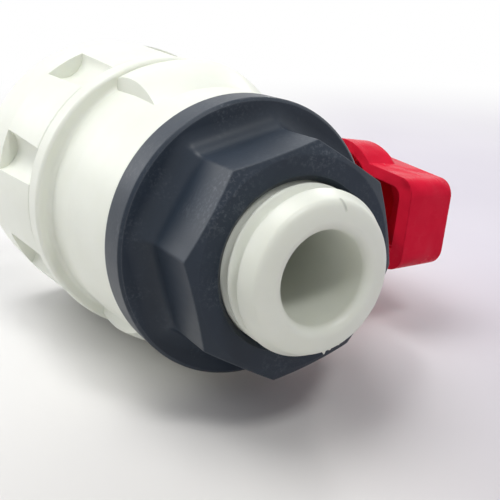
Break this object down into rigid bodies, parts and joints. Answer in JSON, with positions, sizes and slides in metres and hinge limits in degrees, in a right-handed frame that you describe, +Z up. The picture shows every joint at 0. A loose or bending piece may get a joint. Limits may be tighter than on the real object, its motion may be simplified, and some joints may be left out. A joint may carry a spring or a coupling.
{
  "type": "tank drain tap",
  "caption": "Quarter-turn plastic tank drain tap with a threaded spigot, flanged back nut, wing handle, fluted union nut and barbed hose tail.",
  "frame": {"origin": "centre of the body's front seating face, where the flow axis leaves the body towards the tank", "axes": "-Y along the flow axis out of the tank thread, +Y towards the hose tail, +X along the stem towards the handle, +Z up when the handle is at the side"},
  "size_m": [0.0621, 0.0952, 0.045],
  "materials": {
    "body": "moulded, slight sheen",
    "nut": "moulded, satin",
    "handle": "moulded, glossy",
    "seat": "smooth, waxy",
    "ball": "polished",
    "rubber": "matt",
    "steel": "plain"
  },
  "bodies": {
    "tap": {"body": "body", "front_seat": "seat", "rear_seat": "seat", "front_seat_ring": "rubber", "rear_seat_ring": "rubber", "seat_carrier": "body", "carrier_ring": "rubber", "stem_washer": "seat"},
    "valve": {"handle": "handle", "handle_screw": "steel", "handle_cap": "handle", "stem": "body", "stem_ring_inner": "rubber", "stem_ring_outer": "rubber", "ball": "ball"},
    "nut_washer": {"tank_washer": "rubber"},
    "nut": {"back_nut": "nut"},
    "outlet": {"tail": "body", "tail_washer": "rubber"},
    "union": {"union_nut": "body"}
  },
  "joints": [
    {"name": "handle_turn", "type": "hinge", "parent": "tap", "child": "valve", "pos_m": [0, 0.01585, 0], "axis": [-1, 0, 0], "range_deg": [0, 90]},
    {"name": "nut_washer_slide", "type": "slide", "parent": "tap", "child": "nut_washer", "axis": [0, -1, 0], "range_m": [0, 0.0055]},
    {"name": "back_nut_turn", "type": "hinge", "parent": "nut_washer", "child": "nut", "pos_m": [0, -0.008, 0], "axis": [0, -1, 0], "range_deg": [0, 1091]},
    {"name": "outlet_slide", "type": "slide", "parent": "tap", "child": "outlet", "axis": [0, 1, 0], "range_m": [0, 0.008]},
    {"name": "union_nut_turn", "type": "hinge", "parent": "outlet", "child": "union", "pos_m": [0, 0.036, 0], "axis": [0, 1, 0], "range_deg": [0, 1440]}
  ],
  "couplings": [
    {"joint": "nut_washer_slide", "follows": "back_nut_turn", "m_per_rad": 0.00028871},
    {"joint": "outlet_slide", "follows": "union_nut_turn", "m_per_rad": 0.00031831}
  ]
}
